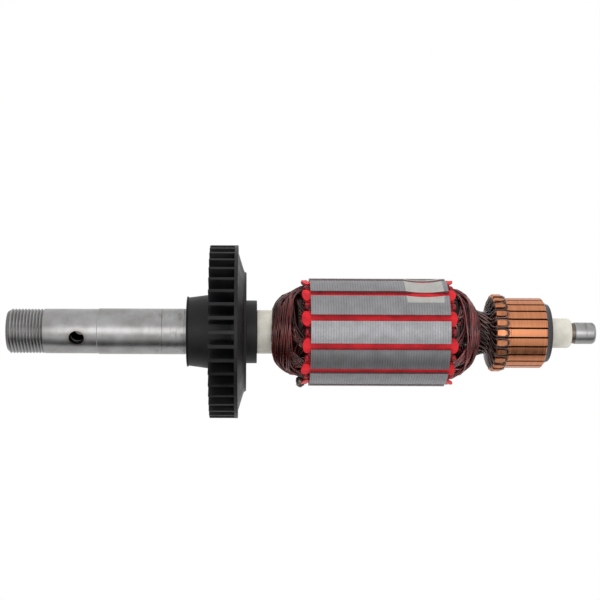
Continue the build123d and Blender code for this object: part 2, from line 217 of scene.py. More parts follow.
def add(tree, kind, *values, out=None):
    """Add a node, fill its inputs in order, and give back the output that is used."""
    node_type, settings, sockets, usual_output = kinds[kind]
    node = tree.nodes.new(node_type)
    for name, setting in settings.items():
        setattr(node, name, setting)
    for socket, value in zip(sockets, values):
        if isinstance(value, bpy.types.NodeSocket):
            tree.links.new(value, node.inputs[socket])
        else:
            node.inputs[socket].default_value = value
    return node.outputs[usual_output if out is None else out]


print("kinds of node", len(kinds))

# %% [markdown]
# ## Repeats
# The fan's blades, the slot wedges and the copper bars are the same shape set evenly round the
# spindle. Geometry Nodes does that in one small tree: it puts copies at the origin, and turns each
# about X by its number times the pitch. The tree ends in Realize Instances, so the result is plain
# mesh, and a helper then bakes it and takes the modifier off.


# %% A tree that repeats a piece round the spindle
def start_tree(name, inputs):
    """A Geometry Nodes tree with named inputs, and those inputs as outputs to link from."""
    tree = bpy.data.node_groups.new(name, "GeometryNodeTree")
    for label, kind in inputs.items():
        tree.interface.new_socket(label, in_out="INPUT", socket_type="NodeSocket" + kind)
    tree.interface.new_socket("Geometry", in_out="OUTPUT", socket_type="NodeSocketGeometry")
    return tree, tree.nodes.new("NodeGroupInput").outputs


def end_tree(tree, geometry, material):
    """Make the instances real, set the material and hand the mesh on."""
    painted = add(tree, "paint", add(tree, "realize", geometry), material)
    tree.links.new(painted, tree.nodes.new("NodeGroupOutput").inputs[0])
    return tree


def ring_tree():
    """Copies of the piece's own mesh, evenly round X, each shifted a little along X."""
    inputs = {"Geometry": "Geometry", "Count": "Int", "First angle": "Float", "Shift": "Float",
              "Seed": "Int", "Material": "Material"}
    tree, given = start_tree("Round the spindle", inputs)
    pitch = add(tree, "divide", 2 * pi, given["Count"])
    turn = add(tree, "multiply_add", add(tree, "index"), pitch, given["First angle"])
    shift = add(tree, "multiply", add(tree, "random", -1, 1, given["Seed"]), given["Shift"])
    points = add(tree, "points", given["Count"], add(tree, "along x", shift))
    copies = add(tree, "copies", points, given["Geometry"], add(tree, "along x", turn))
    return end_tree(tree, copies, given["Material"])


def set_inputs(modifier, values):
    """Set a modifier's inputs by their names, through the sockets' identifiers."""
    for item in modifier.node_group.interface.items_tree:
        if item.in_out == "INPUT" and item.name in values:
            modifier[item.identifier] = values[item.name]


def plain_mesh(source, name):
    """The mesh of an evaluated object, with its modifiers in it."""
    bpy.context.view_layer.update()
    evaluated = source.evaluated_get(bpy.context.evaluated_depsgraph_get())
    mesh = bpy.data.meshes.new_from_object(evaluated)
    mesh.name = name
    return mesh


def bake(piece):
    """Turn the evaluated object into a plain mesh and take its modifiers off."""
    mesh = plain_mesh(piece, piece.name)
    piece.modifiers.clear()
    piece.data = mesh
    return piece


round_the_spindle = ring_tree()
print("tree", round_the_spindle.name, len(round_the_spindle.nodes), "nodes")


def repeat(piece, count, first_angle, shift=0.0, seed=0):
    """Bake copies of a piece round the spindle."""
    modifier = piece.modifiers.new("Copies", "NODES")
    modifier.node_group = round_the_spindle
    values = {
        "Count": count,
        "First angle": radians(first_angle),
        "Shift": shift * mm,
        "Seed": seed,
        "Material": piece.data.materials[0],
    }
    set_inputs(modifier, values)
    return bake(piece)


def fit(piece, slot, *replaced):
    """Fasten a finished piece to the rotor and hide the nodes it stands for. Its slot is not used.
    """
    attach(piece, "root")
    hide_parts(*replaced)
    triangles = sum(len(face.vertices) - 2 for face in piece.data.polygons)
    print(piece.name, triangles, "triangles")


# %% [markdown]
# ## Colours and materials
# A colour picked from a screen is an sRGB value, and the shader wants linear light, so one
# function turns the hex code round. All patterns use Object coordinates, which are metres in the
# rotor's own frame, so noise with a scale of 1 / size gives grains of that size.


# %% Helpers for materials
def linear(code):
    """Linear RGBA from an sRGB hex code."""
    channels = [int(code[i : i + 2], 16) / 255 for i in (1, 3, 5)]
    return [c / 12.92 if c <= 0.04045 else ((c + 0.055) / 1.055) ** 2.4 for c in channels] + [1]


def start_material(name, **values):
    """A material with a Principled shader, its plain values set on the shader's own sockets."""
    material = bpy.data.materials.new(name)
    material.use_nodes = True
    tree = material.node_tree
    shader = tree.nodes["Principled BSDF"]
    for key, value in values.items():
        shader.inputs[key.replace("_", " ")].default_value = value
    return material, tree, shader


def dress(tree, shader, **outputs):
    """Link patterns to the shader's sockets of those names."""
    for key, output in outputs.items():
        tree.links.new(output, shader.inputs[key.replace("_", " ")])


def grain(tree, size, detail=2.0, stretch=(1, 1, 1)):
    """Noise in the rotor's frame, with grains of a size in millimetres, drawn out by stretch."""
    mapped = add(tree, "map", add(tree, "where"), stretch)
    return add(tree, "noise", mapped, 1 / (size * mm), detail)


def rings_of_pitch(tree, pitch):
    """Rings round the spindle: a wave from 0 to 1 of that pitch in millimetres along X."""
    x = add(tree, "split", add(tree, "where"))
    wave = add(tree, "sine", add(tree, "multiply", x, 2 * pi / (pitch * mm)))
    return add(tree, "range", wave, -1, 1)


def off_axis(tree):
    """Distance from the spindle's axis, in metres."""
    return add(tree, "length", add(tree, "stretch", add(tree, "where"), (0, 1, 1)))


def station(tree, start, stop, before=0.0, after=1.0):
    """One value before a place along X and another after a second, places in millimetres."""
    x = add(tree, "split", add(tree, "where"))
    return add(tree, "range", x, start * mm, stop * mm, before, after)


print("a screen's mid grey in linear light", round(linear("#808080")[0], 3))

# %% [markdown]
# ### Ground spindle steel
# The spindle is case-hardened steel, ground on a cylindrical grinder. The wheel leaves fine rings
# round the shaft, so the noise is squeezed along X and drawn out round it, which also gives the
# highlight its brushed edge. Handling adds soft smudges. The bearing seat is ground finer than the
# relieved stretch behind the thread. The thread's roots are painted darker, as painted shade, and
# the inside of the bore is painted near black, as painted shade in the hole. Oil has left a brown
# ring at the hole and a brown film in the undercut beside the rear journal. The hub of the fan was
# pushed on over the seat, and that left scuffs beside it.

# %% Spindle steel
seat_start_x = hub_x - 33.0
seat_r = 8.5
lock_hole_x = nose_x + 26.1
lock_hole_angle = 18.0
thread_end_x = nose_x + 13.8
collar_face_x = collar_end_x - 0.55
journal_x = rear_x - 7.8


def spindle_steel():
    material, tree, shader = start_material("ground spindle steel", Metallic=1.0)
    rings = grain(tree, 0.25, 3, (1, 0.02, 0.02))
    smudge = grain(tree, 7, 4)
    spots = grain(tree, 0.9, 3, (1, 0.6, 0.6))
    cloud = add(tree, "range", smudge, 0.35, 0.65)
    clean = add(tree, "mix", cloud, linear("#8D8C8B"), linear("#A5A4A4"))

    speckle = add(tree, "range", spots, 0.62, 0.75, 0, 0.3)
    relieved = add(tree, "mix", speckle, clean, linear("#5E5A55"))
    seat = station(tree, seat_start_x - 0.1, seat_start_x + 0.1)
    colour = add(tree, "mix", seat, relieved, clean)

    scuffs = add(tree, "range", grain(tree, 1.4, 4, (1, 0.4, 0.4)), 0.56, 0.7, 0, 0.45)
    near_hub = station(tree, hub_x - 18, hub_x - 8)
    # Painted shade: the thread's roots are painted darker.
    root_shade = add(tree, "range", off_axis(tree), 7.95 * mm, 8.2 * mm, 0.6, 0)
    on_thread = station(tree, thread_end_x - 0.3, thread_end_x, 1, 0)
    spot = place(lock_hole_x, seat_r, lock_hole_angle)
    from_hole = add(tree, "distance", add(tree, "where"), spot)
    hole_ring = add(tree, "range", from_hole, 2.6 * mm, 4.0 * mm, 0.45, 0)
    past_collar = station(tree, collar_face_x - 0.3, collar_face_x, 0, 0.75)
    before_journal = station(tree, journal_x, journal_x + 0.3, 1, 0)
    # Painted shade: the inside of the bore is painted near black.
    bore_shade = add(tree, "range", off_axis(tree), 6.6 * mm, 7.4 * mm, 1, 0)
    in_front = station(tree, -4, 0, 1, 0)
    # Brown stains and scuffs, and painted shade in the thread's roots and in the bore.
    layers = (
        (scuffs, near_hub, "#55524F"),
        (root_shade, on_thread, "#3A3836"),
        (hole_ring, 1.0, "#5A4634"),
        (past_collar, before_journal, "#57432F"),
        (bore_shade, in_front, "#1A1614"),
    )
    for amount, place_of_it, tint in layers:
        share = add(tree, "multiply", amount, place_of_it)
        colour = add(tree, "mix", share, colour, linear(tint))

    rough = add(tree, "range", rings, 0.3, 0.7, 0.27, 0.36)
    rougher = add(tree, "range", smudge, 0.3, 0.7, 0.0, 0.06)
    ringed = add(tree, "bump", rings, 0.004 * mm)
    pitted = add(tree, "bump", spots, 0.006 * mm, 0.6, ringed)
    roughness = add(tree, "add", rough, rougher)
    dress(tree, shader, Base_Color=colour, Roughness=roughness, Normal=pitted)
    return material


steel = spindle_steel()
print("material", steel.name)

# %% [markdown]
# ### Moulded black nylon
# The fan is glass-filled nylon from an injection mould. It is nearly black, with a soft sheen and
# a faint cloudiness where dust and the mould's flow show, so the roughness wanders a little and
# the bump is very shallow.

# %% Fan nylon
def fan_nylon():
    material, tree, shader = start_material("moulded black nylon", Specular_IOR_Level=0.22)
    cloud = grain(tree, 6, 4)
    tone = add(tree, "range", cloud, 0.3, 0.7)
    colour = add(tree, "mix", tone, linear("#131314"), linear("#1B1B1D"))
    roughness = add(tree, "range", cloud, 0.3, 0.7, 0.38, 0.55)
    grainy = add(tree, "bump", grain(tree, 0.35, 3), 0.01 * mm)
    dress(tree, shader, Base_Color=colour, Roughness=roughness, Normal=grainy)
    return material


nylon = fan_nylon()
print("material", nylon.name)

# %% [markdown]
# ### Insulating tube
# The cream sleeve and collar are machined from a glass and polyester tube. The surface is matt and
# slightly stained by varnish and handling, with a few brown specks.

# %% Cream tube
def cream_tube():
    material, tree, shader = start_material("machined polyester tube", IOR=1.5, Roughness=0.55)
    tint = add(tree, "range", grain(tree, 5, 4), 0.35, 0.65)
    specks = add(tree, "range", grain(tree, 0.8), 0.7, 0.76, 0, 0.6)
    base = add(tree, "mix", tint, linear("#C6C2B6"), linear("#DAD6CB"))
    colour = add(tree, "mix", specks, base, linear("#7A6A50"))
    turned = add(tree, "bump", grain(tree, 0.3, 2, (1, 0.1, 0.1)), 0.01 * mm)
    dress(tree, shader, Base_Color=colour, Normal=turned)
    return material


cream = cream_tube()
print("material", cream.name)

# %% [markdown]
# ### Laminated core steel
# The core is a pack of thin silicon steel sheets, and its outside was skimmed to size. Each sheet
# shows as a fine line. The real sheets are about half a millimetre thick, too fine for this
# picture's pixels, so the lines are drawn at nearly twice that, as the camera saw them. The ground
# scoop has the same steel almost without the lines.

# %% Core steel
lamination_pitch = 0.93


def core_steel(name, line_depth, dark, light):
    material, tree, shader = start_material(name, Metallic=0.85)
    sparkle = grain(tree, 0.35, 3)
    cloud = add(tree, "range", grain(tree, 4, 4), 0.3, 0.7)
    base = add(tree, "mix", cloud, linear(dark), linear(light))
    glitter = add(tree, "range", sparkle, 0.35, 0.65, 0, 0.22)
    base = add(tree, "mix", glitter, base, linear("#747478"))
    lines = rings_of_pitch(tree, lamination_pitch)
    seams = add(tree, "range", lines, 0.6, 1.0, 0, 0.32 * line_depth)
    colour = add(tree, "mix", seams, base, linear("#4C4A48"))
    roughness = add(tree, "range", sparkle, 0.3, 0.7, 0.38, 0.52)
    sheets = add(tree, "range", lines, 0.3, 1.0, 1, 0)
    lined = add(tree, "bump", sheets, 0.03 * mm * line_depth)
    rolled = add(tree, "bump", sparkle, 0.008 * mm, 1.0, lined)
    dress(tree, shader, Base_Color=colour, Roughness=roughness, Normal=rolled)
    return material


laminations = core_steel("skimmed laminations", 1.0, "#868687", "#97979B")
scoop_steel = core_steel("ground balance scoop", 0.1, "#B3B1AC", "#BFBDB8")
print("materials", laminations.name, scoop_steel.name)

# %% [markdown]
# ### Red slot insulation
# The wedges, slot liners and end plates are red vulcanised fibre, a hard paper board. Dipping
# varnish gives it a gloss and darkens it in patches, so the shader gets a coat over a satin base.
# The strips are painted darker between the core's faces, as painted shade down in the slots. The
# end plates are soaked darker still, and the drops of varnish on their tips are glossier.

# %% Red fibre
def red_fibre(name, dark, light, coat=0.1):
    material, tree, shader = start_material(
        name, Roughness=0.5, Specular_IOR_Level=0.15, Coat_Weight=coat, Coat_Roughness=0.15
    )
    patch = add(tree, "range", grain(tree, 3, 4, (0.5, 1, 1)), 0.35, 0.65)
    colour = add(tree, "mix", patch, linear(dark), linear(light))
    # Painted shade: the fibre is painted darker between the core's faces, down in the slots.
    front = station(tree, core_front_x - 0.6, core_front_x, 0, 0.25)
    back = station(tree, core_back_x, core_back_x + 0.6, 1, 0)
    colour = add(tree, "mix", add(tree, "multiply", front, back), colour, linear("#5A0A10"))
    pulp = add(tree, "bump", grain(tree, 0.5, 3), 0.015 * mm)
    dress(tree, shader, Base_Color=colour, Normal=pulp)
    return material


fibre = red_fibre("varnished red fibre", "#B41A24", "#DC232D")
dark_fibre = red_fibre("soaked red fibre", "#2A0B0C", "#9C141C")
drop_fibre = red_fibre("varnish drops", "#540A10", "#A3141E", 0.4)
print("materials", fibre.name, dark_fibre.name, drop_fibre.name)

# %% [markdown]
# ### Varnished copper wire
# The winding is copper wire with dark red enamel, dipped in clear brown varnish. Each wire is a
# little different, from wine red to nearly black, so the colour follows a random value for each
# strand, and a glossy coat gives the sharp glints along the wires. A few strands are also painted
# pale pink all along, as painted glints. The rear head's copy is painted lighter and redder, with
# more painted glints, so that its wires look more brightly lit. A near-black copy stands for pooled
# varnish and is also painted shade under the wires, in the slots and round the neck. The leads and
# a dried lump are the same material with other colours and coats.

# %% Winding wire
def winding_wire(name, dark, light, coat=0.6, painted_glint=0.55):
    material, tree, shader = start_material(
        name, Metallic=0.45, Roughness=0.3, Specular_IOR_Level=0.3, Coat_Weight=coat,
        Coat_Roughness=0.11
    )
    strand = add(tree, "island")
    patch = add(tree, "range", grain(tree, 4, 3), 0.3, 0.7, 0, 0.4)
    share = add(tree, "power", add(tree, "multiply_add", strand, 0.6, patch), 1.5)
    colour = add(tree, "mix", share, linear(dark), linear(light))
    # Painted glints: a few strands are painted pale pink all along.
    bright = add(tree, "range", strand, 0.86, 0.9, 0, painted_glint)
    colour = add(tree, "mix", bright, colour, linear("#B58D86"))
    lumps = add(tree, "bump", grain(tree, 0.9, 3), 0.03 * mm)
    dress(tree, shader, Base_Color=colour, Normal=lumps)
    return material


wire = winding_wire("enamelled copper wire", "#1F0C0B", "#80322E")
# The rear head's copy is painted lighter and redder, with more painted glints: painted light, as if
# more brightly lit.
lighter_painted_rear_wire = winding_wire("rear wire painted lighter", "#2E1214", "#A84E4E", 0.8, 0.7)
# A near-black copy: pooled varnish, and also painted shade under the wires, in the slots and round
# the neck.
varnish = winding_wire("near-black varnish and painted shade", "#0A0505", "#1E0D0C", 0.05)
lead_wire = winding_wire("varnished lead wire", "#1A0F0C", "#5C3B30", 1.0, 0.15)
dried_varnish = winding_wire("dried varnish", "#3A2C26", "#7A685E", 0.6, 0)
print("materials", wire.name, lighter_painted_rear_wire.name, varnish.name, lead_wire.name, dried_varnish.name)

# %% [markdown]
# ### Turned copper
# The bars are hard-drawn copper, and the whole track was turned in one pass, so very fine rings
# run across all of them. The hooks were not turned, and show the bright drawn copper with a brown
# film where they were welded.

# %% Copper
def turned_copper():
    material, tree, shader = start_material("turned copper", Metallic=1.0)
    rings = grain(tree, 0.3, 3, (1, 0.02, 0.02))
    tone = add(tree, "range", rings, 0.3, 0.7)
    base = add(tree, "mix", tone, linear("#BA7350"), linear("#CE8E68"))
    film = add(tree, "range", grain(tree, 3, 4), 0.5, 0.7, 0, 0.5)
    not_turned = station(tree, hook_x + 5.0, hook_x + 5.4, 1, 0)
    burnt = add(tree, "multiply", film, not_turned)
    colour = add(tree, "mix", burnt, base, linear("#7A4028"))
    roughness = add(tree, "range", rings, 0.3, 0.7, 0.3, 0.42)
    turned = add(tree, "bump", rings, 0.006 * mm)
    dress(tree, shader, Base_Color=colour, Roughness=roughness, Normal=turned)
    return material


copper = turned_copper()
print("material", copper.name)

# %% [markdown]
# ### Commutator resin
# The bars are moulded into a dark phenolic resin. It is dull, with a fine glassy grain.

# %% Resin
def phenolic_resin():
    material, tree, shader = start_material("phenolic moulding", Specular_IOR_Level=0.3)
    fine = grain(tree, 0.4, 3)
    tone = add(tree, "range", fine, 0.35, 0.65)
    colour = add(tree, "mix", tone, linear("#2E2F32"), linear("#3E3F43"))
    roughness = add(tree, "range", fine, 0.3, 0.7, 0.42, 0.55)
    glassy = add(tree, "bump", fine, 0.01 * mm)
    dress(tree, shader, Base_Color=colour, Roughness=roughness, Normal=glassy)
    return material


resin = phenolic_resin()
print("material", resin.name)

# %% [markdown]
# ## The spindle
# One turned piece. Its outline runs from the bottom of the collet socket, out over the nose, along
# the shaft to the journal, and back to the axis. The thread is real geometry: along the nose the
# outline has ten points to each turn, and the relief function lowers the radius by a V that moves
# on by one pitch for each turn round the shaft. The cross hole is then cut with a Boolean, by a
# cutter that flares at both ends, so that the hole's edges are broken.

# %% Spindle outline
thread_r = 8.3
thread_pitch = 1.2
thread_depth = 0.42
thread_fade = 0.6
points_a_turn = 10
socket_r = 4.2
socket_depth = 35
bored_r = 7.0
hub_seat_r = 8.6
core_seat_r = 6.0
rear_seat_r = 5.0
undercut_r = 3.8
journal_r = 4.0
groove_x = -9.2
hub_groove = 0.07
shaft_steps = 160


def thread_relief(x, r, angle):
    """Lower the radius by the thread's V, which fades out at the end of the thread."""
    if x <= nose_x or x >= thread_end_x or r < bored_r:
        return r
    turn = (x - nose_x) / thread_pitch - angle / 360
    wave = abs((turn % 1) - 0.5) * 2
    # The V keeps a narrow flat at its crest and a wider one at its root.
    groove = min(1.0, max(0.0, wave * 1.25 - 0.05))
    fade = min(1.0, (thread_end_x - x) / thread_fade)
    return min(r, thread_r - thread_depth * groove * fade)


def spindle_outline():
    """The outline from the socket's bottom, over the nose and along the shaft to the rear end."""
    throat_x = nose_x + 15
    socket_end_x = throat_x + socket_depth
    bottom = [(socket_end_x + 2.4, 0), (socket_end_x, socket_r)]
    socket = bottom + [(throat_x, socket_r), (throat_x, socket_r + 0.3)]
    mouth = [(nose_x, 6.75), (nose_x, 7.35)]
    samples = int((thread_end_x - nose_x - 1.0) / thread_pitch * points_a_turn)
    spacing = thread_pitch / points_a_turn
    thread = [(nose_x + 0.95 + i * spacing, thread_r) for i in range(samples)]
    shaft = [
        (thread_end_x, thread_r),
        (seat_start_x, thread_r),
        (seat_start_x + 0.25, seat_r),
        (groove_x, seat_r),
        (groove_x + 0.08, seat_r - 0.09),
        (groove_x + 0.16, seat_r),
        (hub_x - 0.9, seat_r),
        (hub_x - 0.8, seat_r - hub_groove),
        (hub_x, seat_r - hub_groove),
        (hub_x + 0.05, hub_seat_r),
        (fan_end_x, hub_seat_r),
        (fan_end_x, core_seat_r),
        (resin_x, core_seat_r),
        (resin_x, rear_seat_r),
        (collar_face_x, rear_seat_r),
        (collar_face_x, undercut_r),
    ]
    journal = [
        (journal_x - 0.02, undercut_r),
        (journal_x, undercut_r + 0.05),
        (journal_x + 0.25, journal_r),
        (rear_x - 1.0, journal_r),
        (rear_x - 0.25, 3.55),
        (rear_x, 2.9),
        (rear_x, 0),
    ]
    return socket + mouth + thread + shaft + soften(journal, 0.4)


print("points in the spindle's outline", len(spindle_outline()))


# %% Cut the cross hole
lock_hole_r = 2.5
flare_start = 7.7
flare_stop = 8.6
plug_half = 10


def cut(piece, cutter):
    """Boolean a cutter out of a piece, and drop the cutter."""
    modifier = piece.modifiers.new("Cut", "BOOLEAN")
    modifier.object = cutter
    modifier.solver = "EXACT"
    modifier.material_mode = "TRANSFER"
    bake(piece)
    bpy.data.objects.remove(cutter)
    piece.data.set_sharp_from_angle(angle=radians(crease_angle))


def hole_cutter():
    """A double-flared plug along the hole's own axis."""
    half = [(flare_start, lock_hole_r), (flare_stop, 3.0), (plug_half, 3.2), (plug_half, 0)]
    form = lathe([(-x, r) for x, r in reversed(half)] + half, 48)
    upright = Matrix.Rotation(radians(-90), 4, "Z")
    lean = Matrix.Rotation(radians(lock_hole_angle), 4, "X")
    move = Matrix.Translation((lock_hole_x * mm, 0, 0))
    bmesh.ops.transform(form, matrix=move @ lean @ upright, verts=form.verts)
    return new_piece("hole cutter", form, steel)


spindle = new_piece("spindle", lathe(spindle_outline(), shaft_steps, thread_relief), steel, 40)
cut(spindle, hole_cutter())
fit(spindle, "spindle_steel", "spindle_shaft")

# %% [markdown]
# ## The cooling fan
# The fan was moulded in one shot: a hub with a lip, a dished plate and forty straight blades. The
# hub and plate come off the lathe with soft edges. One blade is a thin bevelled block, a little
# thicker at its root, and the tree sets the rest round the hub.

# %% Fan hub and plate
hub_bore_r = 8.75
hub_end_r = 11.7
rim_front_x = hub_x + 17.66
rim_back_x = rim_front_x + 1.34
dish_x = rim_front_x + 1.2
blade_tip_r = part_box("cooling_fan")[1].z / mm - 0.05
fan_outline = [
    (hub_x, hub_bore_r),
    (hub_x, 13.1),
    (hub_x + 0.4, 13.1),
    (hub_x + 0.7, 12.72),
    (hub_x + 8.5, 13.75),
    (hub_x + 16.5, 15.2),
    (dish_x, 17.4),
    (dish_x, 24.0),
    (rim_front_x, 30.0),
    (rim_front_x, blade_tip_r),
    (rim_back_x, blade_tip_r),
    (rim_back_x, 29.4),
    (hub_x + 21.0, 22.9),
    (hub_x + 21.3, 22.3),
    (hub_x + 22.0, 22.0),
    (hub_x + 22.0, hub_end_r),
    (fan_end_x, hub_end_r),
    (fan_end_x, hub_bore_r),
]
fan_body = new_piece("fan_body", lathe(soften(fan_outline, 0.25), 160), nylon, 40)
fit(fan_body, "fan_plastic", "cooling_fan")


# %% Fan blades
def bevelled_block(low, high, taper, bevel):
    """A block between two corners, its outer end narrower, with its edges bevelled."""
    form = bmesh.new()
    bmesh.ops.create_cube(form, size=1)
    for vertex in form.verts:
        share = vertex.co.y + 0.5
        corner = [l + (h - l) * (c + 0.5) for l, h, c in zip(low, high, vertex.co)]
        corner[2] *= taper + (1 - taper) * share
        vertex.co = Vector(corner) * mm
    bmesh.ops.bevel(form, geom=form.edges[:], offset=bevel * mm, segments=2, affect="EDGES")
    return form


blade_count = 40
first_blade_angle = 0.4
blade_thickness = 1.4
blade_root_r = 21.0
blade_bevel = 0.14
tip_share = 0.9
blade_low = (hub_x + 8.5, -blade_tip_r, -blade_thickness / 2)
blade_high = (dish_x, -blade_root_r, blade_thickness / 2)
blade_form = bevelled_block(blade_low, blade_high, tip_share, blade_bevel)
blades = new_piece("fan_blades", blade_form, nylon)
repeat(blades, blade_count, first_blade_angle)
fit(blades, "fan_plastic", "cooling_fan")

# %% [markdown]
# ## Sleeve and collar
# Two plain tubes of cream insulation, one behind the fan and one between the commutator and the
# rear journal. They only need the lathe and softened ends.

# %% Sleeve and collar
fit_gap = 0.05
bore_r = core_seat_r + fit_gap


def tube(name, start, stop, outer, inner, rear_cut, node):
    """A plain tube with a cut corner at its rear end."""
    outline = [
        (start, inner),
        (start, outer),
        (stop - rear_cut, outer),
        (stop, outer - rear_cut * 0.5),
        (stop, inner),
    ]
    piece = new_piece(name, lathe(soften(outline, 0.3), 128), cream, 40)
    fit(piece, "sleeve_plastic", node)


sleeve_node = "front_insulating_sleeve"
collar_node = "rear_insulating_collar"
tube("front_sleeve", *along(sleeve_node), 8.1, bore_r, 0.2, sleeve_node)
tube("rear_collar", collar_x, collar_face_x, 5.5, rear_seat_r + fit_gap, 0.7, collar_node)

# %% [markdown]
# ## The laminated core
# A punched section, the same all along: twelve teeth with narrow stems and wide tips. The section
# is drawn once as a flat outline with a round bore, filled, and pulled out to the core's length.
# The balance scoop is where the balancing machine's form cutter took some steel away. The cutter
# is a ring with a hollow rim, and the Boolean gives the cut faces the scoop's own steel.

# %% Core section
slot_opening = 2.4
tip_depth = 1.0
tooth_width = 3.0
seat_width = 5.7
slot_floor_r = 10.9
arc_steps = 14
half_pitch = radians(slot_pitch / 2)
knee_r = (seat_width / 2 + tooth_width / 2 / cos(half_pitch)) / tan(half_pitch)


def slot_half(r):
    """Half the slot's width beside a tooth of even width, up to the wedge seat."""
    return min(r * tan(half_pitch) - tooth_width / 2 / cos(half_pitch), seat_width / 2)


def turned_point(along_slot, across, angle):
    """A (y, z) pair of the section, from a place in a slot's own frame."""
    c, s = cos(radians(angle)), sin(radians(angle))
    return (-(along_slot * c - across * s), -(along_slot * s + across * c))


def both_sides(side):
    """Down one side of a slot and up the other, from (r, half width) pairs."""
    return [(r, -w) for r, w in side] + [(r, w) for r, w in reversed(side)]


def core_section():
    """The outer outline of the section, in order round the core."""
    outline = []
    lip = slot_opening / 2
    tip_angle = degrees(atan2(lip, core_r))
    tip_arc = slot_pitch - 2 * tip_angle
    ledge_r = core_r - tip_depth
    heights = (ledge_r, knee_r, slot_floor_r)
    side = [(core_r, lip), (ledge_r, lip)] + [(r, slot_half(r)) for r in heights]
    for number in range(slot_count):
        angle = slot_pitch * (number + 0.5)
        outline += [turned_point(r, w, angle) for r, w in both_sides(side)]
        arc = [angle + tip_angle + tip_arc * i / arc_steps for i in range(1, arc_steps)]
        outline += [turned_point(core_r, 0, a) for a in arc]
    return outline


def section_block(loops, start, stop):
    """Fill the region between closed loops and pull it out along X."""
    form = bmesh.new()
    for loop in loops:
        corners = [form.verts.new(Vector((start, y, z)) * mm) for y, z in loop]
        for a, b in zip(corners, corners[1:] + corners[:1]):
            form.edges.new((a, b))
    bmesh.ops.triangle_fill(form, edges=form.edges[:], use_beauty=True)
    made = bmesh.ops.extrude_face_region(form, geom=form.faces[:])
    moved = [item for item in made["geom"] if isinstance(item, bmesh.types.BMVert)]
    bmesh.ops.translate(form, verts=moved, vec=Vector((stop - start, 0, 0)) * mm)
    return form


bore_steps = 64
bore = [turned_point(bore_r, 0, 360 * i / bore_steps) for i in range(bore_steps)]
core_form = section_block([core_section(), bore], core_front_x, core_back_x)
core = new_piece("core", core_form, laminations, 25)
print("the slots' sides reach full width at radius", round(knee_r, 2))

# %% Grind the balance scoop
scoop_x = core_front_x + 41.35
scoop_angle = -60.8
scoop_depth = 0.75
cutter_r = 32.0
form_r = 21.0
scoop_width = 18.9
rim_steps = 12


def scoop_cutter():
    """A ring with a hollow rim, standing over the core at the scoop's place."""
    rim = []
    for step in range(rim_steps + 1):
        across = scoop_width * (step / rim_steps - 0.5)
        rim.append((across, cutter_r + form_r - sqrt(form_r**2 - across**2)))
    ring = lathe([(rim[0][0], 0)] + rim + [(rim[-1][0], 0)], 160)
    stand = Matrix.Rotation(radians(90), 4, "Y")
    drop = Matrix.Translation((0, -(core_r - scoop_depth + cutter_r) * mm, 0))
    lean = Matrix.Rotation(radians(scoop_angle), 4, "X")
    move = Matrix.Translation((scoop_x * mm, 0, 0))
    bmesh.ops.transform(ring, matrix=move @ lean @ drop @ stand, verts=ring.verts)
    return new_piece("scoop cutter", ring, scoop_steel)


cut(core, scoop_cutter())
fit(core, "core_steel", "lamination_stack")

# %% [markdown]
# ## Wedges and liners
# A red strip closes each slot. It lies just under the tooth tips, wider than the slot's mouth, and
# its rounded ends stand out past both faces of the core. The strips were pushed in by hand, so the
# tree also shifts each one a little along its slot. The slot liners stand out as cuffs beside the
# teeth, under the wedges' ends.

# %% Slot wedges
wedge_r = 18.62
wedge_width = 5.4
wedge_thickness = 0.5
wedge_front_x = core_front_x - 3.15
wedge_back_x = core_back_x + 2.5
disc_reach = 1.75
wedge_neck = 3.1
flare = 0.65
flare_length = 3.0


def skin(form, rows):
    """Join closed rows of corners by faces, and close the first and the last."""
    for before, after in zip(rows, rows[1:]):
        for i in range(len(before)):
            j = (i + 1) % len(before)
            form.faces.new((before[i], before[j], after[j], after[i]))
    form.faces.new(rows[0])
    form.faces.new(rows[-1][::-1])


def wedge_form():
    """A strip bent to the core's curve, its ends rounded and lifted like a spoon's."""
    form = bmesh.new()
    # Close stations round each disc-shaped end, which narrows again to a neck.
    stations = [disc_reach * (1 - cos(pi * i / 16)) for i in range(13)]
    stations.append(wedge_neck + 0.25)
    length = wedge_back_x - wedge_front_x
    places = stations + [length * i / 6 for i in range(1, 6)] + [length - s for s in stations[::-1]]
    half = wedge_width / 2
    rows = []
    for s in places:
        near = min(s, length - s)
        round_end = sqrt(max(0.0, 1 - (near / disc_reach - 1) ** 2))
        width = half * round_end if near < wedge_neck else half
        lift = flare * max(0.0, 1 - near / flare_length) ** 1.4
        row = []
        for r in (wedge_r, wedge_r + wedge_thickness * 0.7):
            angles = [degrees(width * (j / 4 - 1) / wedge_r) for j in range(9)]
            row.append([form.verts.new(place(wedge_front_x + s, r + lift, a)) for a in angles])
        rows.append(row[0] + row[1][::-1])
    skin(form, rows)
    return form


wedges = new_piece("slot_wedges", wedge_form(), fibre, 50)
repeat(wedges, slot_count, slot_pitch / 2, shift=0.35, seed=4)
fit(wedges, "red_insulation", *wedge_nodes)


# %% Slot liners
liner_top_r = 18.35
liner_floor_r = slot_floor_r + 0.1
liner_wall = 0.3
liner_gap = 0.06


def liner_form():
    """One folded trough, a little longer than the core."""
    heights = (liner_top_r, liner_top_r - 0.4, knee_r, liner_floor_r)
    outer = [(r, slot_half(r) - liner_gap) for r in heights]
    # The inside runs back the other way, so its half widths are negative.
    inner = [(max(r, liner_floor_r + liner_wall), liner_wall - half) for r, half in outer]
    loop = [turned_point(r, w, 0) for r, w in both_sides(outer) + both_sides(inner)]
    return section_block([loop], core_front_x - 1.9, core_back_x + 1.5)


liners = new_piece("slot_liner_cuffs", liner_form(), fibre, 30)
repeat(liners, slot_count, slot_pitch / 2)
fit(liners, "red_insulation", "slot_liners")

# %% [markdown]
# The end plates are punched from the same board, one tooth for each tooth of the core. Their tips
# show between the wedges' ends, small and rounded, and soaked dark with varnish.

# %% End plates
plate_rim_r = 18.9
plate_side_r = 18.0
tip_reach = 1.2
tip_half = 1.9
tip_steps = 8


